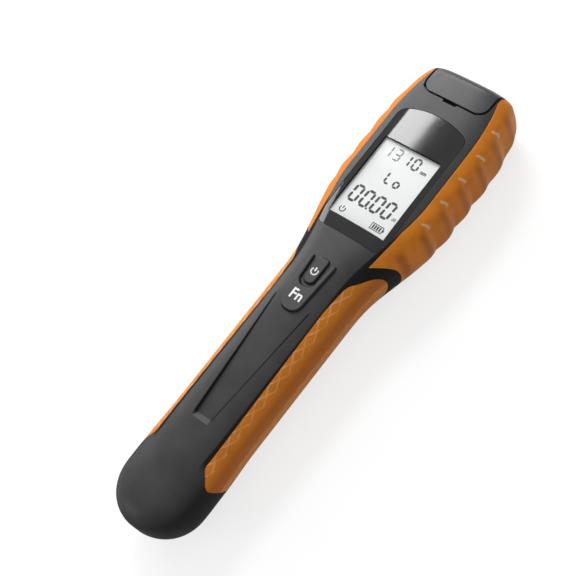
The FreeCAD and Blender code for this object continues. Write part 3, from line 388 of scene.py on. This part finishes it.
def crease_arcs(paint):
    """The relief of bowed ridges at the creases: their height, their painted highlight, and the painted shade
    of the hollows.
    """
    x, y, z = paint.place()
    depth = FACE - z
    bow = depth - ARC_MIDDLE_DEPTH
    along = (HEAD_END - ARC_FIRST) - bow * bow * ARC_BOW - y
    inside = along.rise(*ARCS_START) * along.fall(*ARCS_END)
    span = depth.rise(*ARC_SPAN_FRONT) * depth.fall(*ARC_SPAN_REAR)
    away = abs(along.nearest(ARC_PITCH))
    # painted highlight along each crease's ridge and the fainter ones beside it
    main = away.fall(*ARC_EDGE) * span
    beside = abs(away - SIDE_ARC_AWAY).fall(*SIDE_ARC_EDGE) * span
    # painted shade in the hollow behind each crease
    behind = (HEAD_END - ARC_FIRST - HOLLOW_AWAY - y).nearest(ARC_PITCH)
    hollow_shade = abs(behind).fall(*HOLLOW_EDGE) * depth.rise(*HOLLOW_DEPTH)
    height = (main * ARC_HEIGHT + beside * SIDE_ARC_HEIGHT) * inside
    return height, (main + beside * SIDE_ARC_HIGHLIGHT) * inside, hollow_shade


dress(grip_rubber("head_grip_rubber", crease_arcs), "head_grip_right", "head_grip_left")
print(ARC_COUNT, "creases, the first", ARC_FIRST, "mm from the head's end, one each", ARC_PITCH, "mm")

# %% [markdown]
# ## Handle grips
# The handle grips have a lattice of raised diamonds for the palm: a band along the front edge and another
# round the middle of the side, with smooth rubber between them that is darkened by painted shade. Hundreds
# of diamonds as solids would be heavy and would have to follow the curved side. Two sets of slanting lines do
# it: `up` and `down` count the lines along each slant, and a point is on a ridge where either is close to a
# whole number. The ridges get a pale painted highlight, which slow noise makes stronger in some patches.

# %% Handle grips
LATTICE_LENGTH, LATTICE_WIDTH, LATTICE_EDGE = 7.0, 2.15, 2.05
FRONT_BAND_END = (4.1, 4.7)
REAR_BAND_START, REAR_BAND_END = (12.0, 12.6), (17.5, 18.5)
# the smooth stretch that gets painted shade
SMOOTH_START, SMOOTH_END = (4.0, 8.0), (11.0, 13.5)
RIDGE_EDGE, RIDGE_HEIGHT = (0.04, 0.34), 0.14
# how strong the ridges' painted highlight is
RIDGE_HIGHLIGHT, RIDGE_PATCH_HIGHLIGHT = 0.08, 0.30
# patches where the painted highlight is stronger
HIGHLIGHT_PATCH_SIZE, HIGHLIGHT_PATCH_EDGE = 3.5, (0.30, 0.62)


def diamond_lattice(paint):
    """The relief of crossed ridges: their height, their painted highlight, and the painted shade of the
    smooth stretch between.
    """
    x, y, z = paint.place()
    depth = FACE - z
    across = (depth - LATTICE_EDGE) / LATTICE_WIDTH
    up, down = y / LATTICE_LENGTH + across, y / LATTICE_LENGTH - across
    line = up.wave(1.0).least(down.wave(1.0))
    bands = depth.fall(*FRONT_BAND_END) + depth.rise(*REAR_BAND_START) * depth.fall(*REAR_BAND_END)
    ridge = line.fall(*RIDGE_EDGE) * bands
    # painted highlight on the ridges, stronger in patches
    highlight_patches = paint.noise(HIGHLIGHT_PATCH_SIZE).rise(*HIGHLIGHT_PATCH_EDGE)
    highlight = ridge * (highlight_patches * RIDGE_PATCH_HIGHLIGHT + RIDGE_HIGHLIGHT)
    # the smooth stretch gets painted shade
    return ridge * RIDGE_HEIGHT, highlight, depth.rise(*SMOOTH_START) * depth.fall(*SMOOTH_END)


dress(grip_rubber("handle_grip_rubber", diamond_lattice), "handle_grip_right", "handle_grip_left")
print("diamonds of", LATTICE_LENGTH, "by", 2 * LATTICE_WIDTH, "mm")

# %% [markdown]
# ## Window
# The window is a clear plastic plate. A black mask is printed on its back and leaves a rectangle open over
# the LCD. The mask could be a film of its own behind the plate, but two thin sheets so close together can
# flicker. Instead one material holds both: inside the rectangle it lets light straight through, but for a
# faint sheen, and outside it the Mix Shader shows the black print under a glossy skin.

# %% Window
OPENING_HALF_WIDTH = 12.65
OPENING_LOW, OPENING_HIGH = 28.9, 63.4
OPENING_EDGE = 0.05
CLEAR_SHEEN = 0.06                        # how much of the glossy skin shows over the clear part


def masked_window():
    paint = Paint("masked_window", Roughness=0.07, IOR=1.43, Coat_Weight=0.1, Coat_Roughness=0.04)
    x, y, z = paint.place()
    middle, half = (OPENING_LOW + OPENING_HIGH) / 2, (OPENING_HIGH - OPENING_LOW) / 2
    outside = (abs(x) - OPENING_HALF_WIDTH).most(abs(y - middle) - half)
    mask = outside.rise(-OPENING_EDGE, OPENING_EDGE)
    patches = paint.noise(7.0).spread()
    paint.set(Base_Color=paint.mixed(patches, (0.016, 0.016, 0.017), (0.020, 0.020, 0.021)))
    clear = paint.node("BsdfTransparent").outputs[0]
    share = mask * (1.0 - CLEAR_SHEEN) + CLEAR_SHEEN
    both = paint.node("MixShader", sockets={"Fac": share, 1: clear, 2: paint.shader.outputs[0]})
    paint.fill(paint.tree.nodes["Material Output"].inputs["Surface"], both.outputs[0])
    return paint


dress(masked_window(), "display_window")
print("opening", 2 * OPENING_HALF_WIDTH, "by", round(OPENING_HIGH - OPENING_LOW, 2), "mm")

# %% [markdown]
# ## LCD
# With its backlight on, the LCD is a pale, slightly blue white. It could give off light of its own, but it
# then looks like a lamp and its marks lose their contrast. A pale colour under the studio's light is as
# bright as the real one, and it dims with the rest of the meter in other light.


# %% LCD
def lcd_glass():
    paint = Paint("lcd_glass")
    fine, slow = paint.noise(0.3), paint.noise(12.0)
    patches = (slow * 0.8 + fine * 0.2).spread(0.2)
    skin = paint.mixed(patches, (0.84, 0.86, 0.86), (0.91, 0.92, 0.92))
    return paint.set(Base_Color=skin, Roughness=around(0.35, (slow, 0.1)))


dress(lcd_glass(), "lcd_module")

# %% [markdown]
# ## Metal pieces
# The ports and the cans of the sensor and the laser are polished along Y, and the hinge pin is drawn along
# X, so each has fine lines that way. The spring and the contact are bright and even, and the screws are
# black. Real tool marks are thousandths of a millimetre deep, too fine to model. Noise that is stretched
# along the lines looks like them, and it changes the colour, the gloss and the bump together.

# %% Metals
ALONG_Y, ALONG_X, EVEN = (1, 0.1, 1), (0.05, 1, 1), (1, 1, 1)
TOOL_MARK_SIZE, TOOL_MARK_HEIGHT = 0.25, 0.003


def metal(name, dark, light, roughness, stretch):
    paint = Paint(name, Metallic=1.0)
    lines, slow = paint.noise(TOOL_MARK_SIZE, stretch=stretch), paint.noise(3.0)
    skin = paint.mixed((lines * 0.5 + slow * 0.5).spread(), dark, light)
    paint.set(Base_Color=skin, Roughness=around(roughness, (lines, 0.18)))
    return paint.bump(lines * TOOL_MARK_HEIGHT)


nickel = metal("nickel_plate", (0.60, 0.58, 0.53), (0.74, 0.72, 0.68), 0.24, ALONG_Y)
sensor_can = metal("sensor_can", (0.62, 0.57, 0.42), (0.76, 0.71, 0.56), 0.30, ALONG_Y)
laser_brass = metal("laser_brass", (0.62, 0.45, 0.17), (0.76, 0.58, 0.26), 0.28, ALONG_Y)
drawn_steel = metal("drawn_steel", (0.50, 0.50, 0.51), (0.64, 0.64, 0.65), 0.30, ALONG_X)
spring_steel = metal("spring_steel", (0.56, 0.56, 0.56), (0.72, 0.72, 0.73), 0.25, EVEN)
black_zinc = metal("black_zinc", (0.07, 0.07, 0.075), (0.14, 0.14, 0.15), 0.36, EVEN)
dress(nickel, "detector_port", "laser_port")
dress(sensor_can, "photodiode")
dress(laser_brass, "laser_module")
dress(drawn_steel, "cap_hinge_pin")
dress(spring_steel, "battery_spring", "battery_contact")
dress(black_zinc, "case_screws")

# %% [markdown]
# ## Board
# The circuit board is green, because a solder mask covers it, and the copper tracks under the mask make
# paler, slightly raised lines. Nobody sees the board while the covers are on, so real tracks would be
# wasted work. Two `wave` grids, one across and one along, cut up by slow noise, pass for tracks.

# %% Board
TRACK_PITCH_X, TRACK_EDGE_X = 1.6, (0.12, 0.2)
TRACK_PITCH_Y, TRACK_EDGE_Y = 3.1, (0.06, 0.1)
TRACK_CUT, TRACK_HEIGHT = (0.45, 0.5), 0.03


def board_mask():
    paint = Paint("solder_mask", Roughness=0.35, IOR=1.5)
    x, y, z = paint.place()
    grid = x.wave(TRACK_PITCH_X).fall(*TRACK_EDGE_X).most(y.wave(TRACK_PITCH_Y).fall(*TRACK_EDGE_Y))
    track = grid * paint.noise(4.0).rise(*TRACK_CUT)
    paint.set(Base_Color=paint.mixed(track, (0.010, 0.085, 0.035), (0.030, 0.190, 0.075)))
    return paint.bump(track * TRACK_HEIGHT)


dress(board_mask(), "main_board")

# %% [markdown]
# ## Cells
# Each AA cell has a printed sleeve, dark over two thirds of its length and the colour of pale brass over
# the rest. A second material there would need the mesh cut. One formula serves both cells, which lie end
# to end: the place along Y is counted in lengths of a cell, and its fraction says where on a cell a point is.

# %% Cells
CELL_LENGTH, BAND_START = 50.5, (0.70, 0.705)
CELLS_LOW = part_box("battery_1")[0].y / MM


def cell_sleeve():
    paint = Paint("cell_sleeve", IOR=1.5)
    x, y, z = paint.place()
    on_cell = ((y - CELLS_LOW) / CELL_LENGTH).math("FRACT")
    scuffs = paint.noise(1.2, detail=3.0, stretch=(1, 0.3, 1))
    skin = paint.mixed(on_cell.rise(*BAND_START), (0.045, 0.048, 0.055), (0.62, 0.50, 0.30))
    return paint.set(Base_Color=skin, Roughness=around(0.28, (scuffs, 0.16)))


dress(cell_sleeve(), "battery_1", "battery_2")
print(f"cells start at {CELLS_LOW:.2f} mm, each {CELL_LENGTH} mm long")

# %% [markdown]
# ## Inks
# What an LCD shows is dark where the liquid crystal blocks the light, and the marks on the keys are printed
# in white. The marks could be drawn in the materials under them, but a curve or a letter is hard to write
# as a formula. Each mark is a thin film of its own instead, with an ink that varies slightly. Two marks of
# the LCD are paler, as an LCD's are where it is driven weakly.


# %% Inks
def ink(name, dark, light, roughness):
    paint = Paint(name)
    speck = paint.noise(0.25)
    skin = paint.mixed(speck.spread(), dark, light)
    return paint.set(Base_Color=skin, Roughness=around(roughness, (speck, 0.1)))


lcd_ink = ink("lcd_ink", (0.012, 0.013, 0.018), (0.022, 0.023, 0.030), 0.35)
pale_ink = ink("pale_lcd_ink", (0.20, 0.21, 0.23), (0.26, 0.27, 0.29), 0.35)
white_ink = ink("white_print", (0.74, 0.74, 0.74), (0.84, 0.84, 0.84), 0.5)
print("inks:", ", ".join(paint.material.name for paint in (lcd_ink, pale_ink, white_ink)))

# %% [markdown]
# ## One bar of a digit
# A digit is made of straight bars with pointed ends, and every sign can be built from bars too. A bar is
# modelled once: a plane, scaled to its length and width, has its corners bevelled until the ends come to a
# point, and is extruded by the thickness of the film. Each mark then takes copies of its bar, turned and
# put in place, each with its own mesh. They are joined, and the finished mark gets its place in its mesh,
# its ink, and the body of the meter that it moves with.

# %% Bars
FILM = 0.02 * MM                          # how thick a printed mark is
FULL_POINT = 0.5                          # corners cut off by half the width meet in a point


def select_only(*pieces):
    bpy.ops.object.select_all(action="DESELECT")
    for piece in pieces:
        piece.select_set(True)
    if pieces:
        bpy.context.view_layer.objects.active = pieces[0]


def bar_shape(length, width, point=0.0):
    """A bar along X round the origin. Its corners are cut off by a share of its width."""
    select_only()
    bpy.ops.mesh.primitive_plane_add(size=1)
    shape = bpy.context.object
    shape.scale = (length * MM, width * MM, 1)
    bpy.ops.object.transform_apply(location=False, rotation=False, scale=True)
    bpy.ops.object.mode_set(mode="EDIT")
    if point:
        bpy.ops.mesh.bevel(offset=width * point * MM, affect="VERTICES", segments=1)
    bpy.ops.mesh.select_all(action="SELECT")
    bpy.ops.mesh.extrude_region_move(TRANSFORM_OT_translate={"value": (0, 0, FILM)})
    bpy.ops.mesh.select_all(action="SELECT")
    bpy.ops.mesh.normals_make_consistent(inside=False)
    bpy.ops.object.mode_set(mode="OBJECT")
    return shape


def copies(shape, spots, z):
    """A copy of the shape, with its own mesh, at each x, y and turn. The shape itself goes."""
    made = []
    for x, y, turn in spots:
        select_only(shape)
        bpy.ops.object.duplicate(linked=False)
        copy = bpy.context.object
        copy.location = (x * MM, y * MM, z)
        copy.rotation_euler.z = turn
        made.append(copy)
    bpy.data.objects.remove(shape)
    return made


def settle(name, paint, body):
    """Puts the place of the active piece in its mesh, and gives it its name, ink and body."""
    piece = bpy.context.object
    bpy.ops.object.transform_apply(location=True, rotation=True, scale=True)
    piece.name = piece.data.name = name
    piece.data.materials.clear()
    piece.data.materials.append(paint.material)
    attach(piece, body)
    return piece


def join(name, bars, paint, body):
    select_only(*bars)
    bpy.ops.object.join()
    print(name, "has", len(bars), "bars")
    return settle(name, paint, body)


# %% [markdown]
# ## Digits
# The top row shows a wavelength of 1310 nm, the middle row says Lo, since no light comes in, and the bottom
# row shows 00.00. A typeface would do, but the bars of a real LCD leave small gaps at their corners and
# keep one stroke, and no typeface at hand does that. Letters name the bars of a digit: a is the top one,
# then b, c, d, e and f go clockwise round the outside, and g is in the middle.

# %% Digits
FILM_AWAY = 0.004 * MM                    # keeps the film off the glass, where the two would flicker
LCD_FILM_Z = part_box("lcd_module")[1].z + FILM_AWAY
DIGIT_BARS = {"0": "abcdef", "1": "bc", "3": "abcdg", "L": "def", "o": "cdeg"}
CORNER_GAP = 0.25                         # gap between two bars, as a share of the stroke
LEVEL_BARS = {"a": 1.0, "g": 0.5, "d": 0.0}                 # shares of the height
UPRIGHT_BARS = {"f": (0.0, 0.75), "b": (1.0, 0.75), "e": (0.0, 0.25), "c": (1.0, 0.25)}  # width, height
UPRIGHT = math.pi / 2


def digit_row(name, text, paint, left, foot, width, height, stroke, pitch, slant=0.0, dot=None):
    """A row of digits from its lower left corner, in millimetres. A dot is its x, drop, size and cut."""
    level, upright = [], []
    for index, character in enumerate(text):
        for part in DIGIT_BARS[character]:
            if part in LEVEL_BARS:
                across, up, spots, turn = 0.5, LEVEL_BARS[part], level, 0.0
            else:
                (across, up), spots, turn = UPRIGHT_BARS[part], upright, UPRIGHT - math.atan(slant)
            x = left + index * pitch + across * width + slant * up * height
            spots.append((x, foot + up * height, turn))
    gap = stroke * CORNER_GAP
    bars = copies(bar_shape(height / 2 - gap, stroke, FULL_POINT), upright, LCD_FILM_Z)
    bars += copies(bar_shape(width - gap, stroke, FULL_POINT), level, LCD_FILM_Z)
    if dot:
        x, down, size, cut = dot
        bars += copies(bar_shape(size, size, cut), [(x, foot - down, 0.0)], LCD_FILM_Z)
    return join(name, bars, paint, "housing")


top_row = {"foot": 57.1, "width": 2.3, "height": 4.5, "pitch": 4.2}
digit_row("wavelength_start", "13", pale_ink, left=-9.5, stroke=0.68, **top_row)
digit_row("wavelength_end", "10", lcd_ink, left=-1.1, stroke=0.80, **top_row)
digit_row("level_letters", "Lo", lcd_ink, left=-2.15, foot=47.9, width=2.05, height=4.5, stroke=0.80,
          pitch=3.85)
digit_row("reading_digits", "0000", lcd_ink, left=-9.7, foot=36.2, width=2.95, height=6.5, stroke=1.0,
          pitch=4.93, slant=0.07, dot=(-1.05, 0.05, 0.85, 0.3))
print(f"marks lie at {LCD_FILM_Z / MM:.3f} mm and are {FILM / MM} mm thick")

# %% [markdown]
# ## Units and letters
# Small units stand beside the rows, and the function key carries the letters Fn. Here a typeface is right,
# because these marks are drawn as letters on the real LCD and key. A text becomes a mesh before it is
# placed, since Blender can't put a place into a flat text. Its offset makes the strokes bolder.

# %% Units and letters
FUNCTION_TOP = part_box("function_key")[1].z


def lettering(name, text, size, centre, z, paint, body, bold):
    select_only()
    bpy.ops.object.text_add()
    text_data = bpy.context.object.data
    text_data.body = text
    text_data.size, text_data.offset, text_data.extrude = size * MM, bold * MM, FILM / 2
    text_data.align_x, text_data.align_y = "CENTER", "CENTER"
    bpy.ops.object.convert(target="MESH")
    bpy.context.object.location = (centre[0] * MM, centre[1] * MM, z + FILM / 2)
    return settle(name, paint, body)


lettering("wavelength_unit", "nm", 2.1, (8.55, 57.7), LCD_FILM_Z, lcd_ink, "housing", 0.09)
lettering("reading_unit", "dB", 1.8, (10.6, 37.4), LCD_FILM_Z, pale_ink, "housing", 0.05)
lettering("function_letters", "Fn", 5.6, (0.2, -4.2), FUNCTION_TOP, white_ink, "function_button",
          0.11)
print(f"the function key's letters lie at {FUNCTION_TOP / MM:.2f} mm")

# %% [markdown]
# ## Power sign
# The power sign is a ring that is open at the top, with a bar in the gap. The ring could be cut from a
# torus or a curve, but then it would have another thickness and another edge than the digits. One short
# bar, copied along the circle with each copy overlapping the next, has the same film and stroke as they
# have.

# %% Power sign
RING_GAP = 0.9                            # an angle in radians, each way from the top
RING_BARS, RING_OVERLAP = 28, 1.22
STEM_UP, STEM_LENGTH = 0.62, 1.15         # shares of the ring's radius


def power_sign(name, centre, radius, stroke, z, paint, body):
    x, y = centre
    pitch = (2 * math.pi - 2 * RING_GAP) / RING_BARS
    spots = []
    for index in range(RING_BARS):
        angle = UPRIGHT + RING_GAP + (index + 0.5) * pitch
        spots.append((x + radius * math.cos(angle), y + radius * math.sin(angle), angle + UPRIGHT))
    bars = copies(bar_shape(radius * pitch * RING_OVERLAP, stroke), spots, z)
    bars += copies(bar_shape(radius * STEM_LENGTH, stroke), [(x, y + radius * STEM_UP, UPRIGHT)], z)
    return join(name, bars, paint, body)


power_sign("lcd_power_sign", (-8.55, 31.9), 1.15, 0.42, LCD_FILM_Z, lcd_ink, "housing")

# %% [markdown]
# ## Battery sign
# A frame with a nub at its right end holds four bars that say the cells are full. The frame could be a
# plane with its middle inset and deleted, and it would look the same. As bars, it is made like the other
# signs, and its four sides keep the stroke that is asked for.

# %% Battery sign
CHARGE_BARS = 4
CHARGE_HEIGHT, CHARGE_WIDTH = 0.70, 0.66  # shares of the frame's height and of the bars' pitch
NUB_LENGTH, NUB_AWAY = 0.55, 0.4
NUB_HEIGHT = 0.45                         # a share of the frame's height


def battery_sign(name, left, foot, width, height, stroke):
    right, top = left + width, foot + height
    centre, middle = left + width / 2, foot + height / 2
    pitch = width / (CHARGE_BARS + 1)
    charge = [(left + pitch * (index + 1), middle, UPRIGHT) for index in range(CHARGE_BARS)]
    parts = [
        (bar_shape(width + stroke, stroke), [(centre, foot, 0.0), (centre, top, 0.0)]),
        (bar_shape(height, stroke), [(left, middle, UPRIGHT), (right, middle, UPRIGHT)]),
        (bar_shape(NUB_LENGTH, height * NUB_HEIGHT), [(right + NUB_AWAY, middle, 0.0)]),
        (bar_shape(height * CHARGE_HEIGHT, pitch * CHARGE_WIDTH), charge),
    ]
    bars = []
    for shape, spots in parts:
        bars += copies(shape, spots, LCD_FILM_Z)
    return join(name, bars, lcd_ink, "housing")


battery_sign("lcd_battery_sign", left=4.75, foot=30.65, width=5.0, height=2.4, stroke=0.30)

# %% [markdown]
# ## Sign on the power key
# The key that turns the meter on carries the same sign as the LCD, a little larger and in white. It could
# be sunk into the key, but then the key's own mesh would have to change. As a film on the key's top it
# stays a piece of its own, and it rides on the key, so that it sinks with it when the key is pressed.

# %% Sign on the power key
POWER_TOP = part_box("power_key")[1].z
power_sign("power_key_sign", (-0.05, 6.35), 1.3, 0.56, POWER_TOP, white_ink, "power_button")
print(f"the power key's sign lies at {POWER_TOP / MM:.2f} mm")

# %% [markdown]
# ## Floor
# The meter lies on pale paper. If the lamps alone were to make the paper white, the meter would be far too
# bright, so the paper glows a little, but only for the camera and for what glossy and clear pieces mirror.
# To all other light it is a plain mid grey, which throws a soft light back at the meter's sides. The glow
# is weak enough to keep the meter's soft shadow.

# %% Floor
FLOOR_SIZE = 8.0
PAPER_DARK, PAPER_LIGHT = (0.28, 0.28, 0.28), (0.30, 0.30, 0.30)
PAPER_THROWN_BACK, PAPER_GLOW, NO_GLOW = (0.45, 0.45, 0.45), (0.73, 0.73, 0.73), (0.0, 0.0, 0.0)


def floor_paper():
    paint = Paint("floor_paper", Roughness=0.9, Emission_Strength=1.0)
    rays = paint.node("LightPath").outputs
    seen = Field(paint, rays["Is Camera Ray"])
    for ray in ("Is Glossy Ray", "Is Transmission Ray"):
        seen = seen.most(Field(paint, rays[ray]))
    paper = paint.mixed(paint.noise(40.0).spread(0.2), PAPER_DARK, PAPER_LIGHT)
    glow = paint.mixed(seen, NO_GLOW, PAPER_GLOW)
    return paint.set(Base_Color=paint.mixed(seen, PAPER_THROWN_BACK, paper), Emission_Color=glow)


select_only()
bpy.ops.mesh.primitive_plane_add(size=FLOOR_SIZE, location=(0, 0, 0))
floor = bpy.context.object
floor.name = "floor"
floor.data.materials.append(floor_paper().material)
print("floor of", FLOOR_SIZE, "m")

# %% [markdown]
# ## Surround
# White walls all round fill the shadows from every side. An even white world does this without any walls,
# and at a strength under 1 it leaves room for the lamps to shape the meter.

# %% Surround
SURROUND_STRENGTH = 0.58
world = bpy.data.worlds.new("surround")
bpy.context.scene.world = world
world.use_nodes = True
background = world.node_tree.nodes["Background"]
background.inputs["Color"].default_value = (1, 1, 1, 1)
background.inputs["Strength"].default_value = SURROUND_STRENGTH
print("surround at", SURROUND_STRENGTH)

# %% [markdown]
# ## Lamps
# Three soft boxes stand at the left. The key lamp is long and narrow, and the window mirrors it as an
# upright band of light. The side lamp is large and lights the left flank and the slopes of the face. The
# tail lamp stands beyond the tail and rounds the dark bulb. Their places were found by mirroring the
# camera's view in the window, so that no lamp shows in the LCD. An area lamp gives the soft edges that a
# point lamp or a sun can't. A lamp shines along its own -Z, so its axes are built from where it looks.


# %% Lamps
def soft_lamp(name, place, target, size, watts, along=(0, 0, 1)):
    """A flat lamp that faces the target. Its second side runs along a direction."""
    data = bpy.data.lights.new(name, "AREA")
    data.shape = "RECTANGLE"
    data.size, data.size_y = size
    data.energy = watts
    piece = bpy.data.objects.new(name, data)
    bpy.context.scene.collection.objects.link(piece)
    back = (Vector(place) - Vector(target)).normalized()
    side = Vector(along).cross(back).normalized()
    turn = Matrix((side, back.cross(side), back)).transposed().to_4x4()
    piece.matrix_world = Matrix.Translation(place) @ turn
    print(name, "of", watts, "W at", place)
    return piece


ALONG_METER = (0, 1, 0)
soft_lamp("key_lamp", (-0.535, 0.70, 0.756), (0.0, 0.70, 0.02), (0.205, 0.72), 7.6, ALONG_METER)
soft_lamp("side_lamp", (-0.88, 0.55, 0.40), (0.0, 0.45, 0.02), (0.42, 1.00), 7.5, ALONG_METER)
soft_lamp("tail_lamp", (-0.50, -0.75, 0.45), (0, -0.09, 0.02), (0.40, 0.40), 1.2)

# %% [markdown]
# ## Camera
# The camera looks down on the meter from its right and a little from its tail, turned so that the meter
# runs from the lower left to the upper right. It could aim at a target with a constraint, but the turn of
# the view would still be missing. Three angles give it plainly: how far the camera leans east, how far
# south, and how far it is rolled. A long lens keeps the head and the tail in proportion.

# %% Camera
CAMERA_PLACE = Vector((0.22386, -0.08913, 0.42074))
CAMERA_EAST, CAMERA_SOUTH, CAMERA_ROLL = (math.radians(a) for a in (30.1787, 10.6631, -38.4044))
CAMERA_LENS, CAMERA_SENSOR = 83.28, 36.0

level = math.cos(CAMERA_SOUTH)
toward = Vector((math.sin(CAMERA_EAST) * level, -math.sin(CAMERA_SOUTH), math.cos(CAMERA_EAST) * level))
level_up = (Vector((0, 1, 0)) - toward * toward.y).normalized()
level_right = level_up.cross(toward)
up = level_up * math.cos(CAMERA_ROLL) + level_right * math.sin(CAMERA_ROLL)
right = level_right * math.cos(CAMERA_ROLL) - level_up * math.sin(CAMERA_ROLL)

camera_data = bpy.data.cameras.new("camera")
camera_data.lens, camera_data.sensor_width = CAMERA_LENS, CAMERA_SENSOR
camera_data.clip_start, camera_data.clip_end = 0.01, 20.0
camera = bpy.data.objects.new("camera", camera_data)
bpy.context.scene.collection.objects.link(camera)
camera.matrix_world = Matrix.Translation(CAMERA_PLACE) @ Matrix((right, up, toward)).transposed().to_4x4()
bpy.context.scene.camera = camera
bpy.context.scene.view_settings.view_transform = "Standard"
print("camera at", [round(value, 4) for value in CAMERA_PLACE], "with a lens of", CAMERA_LENS, "mm")
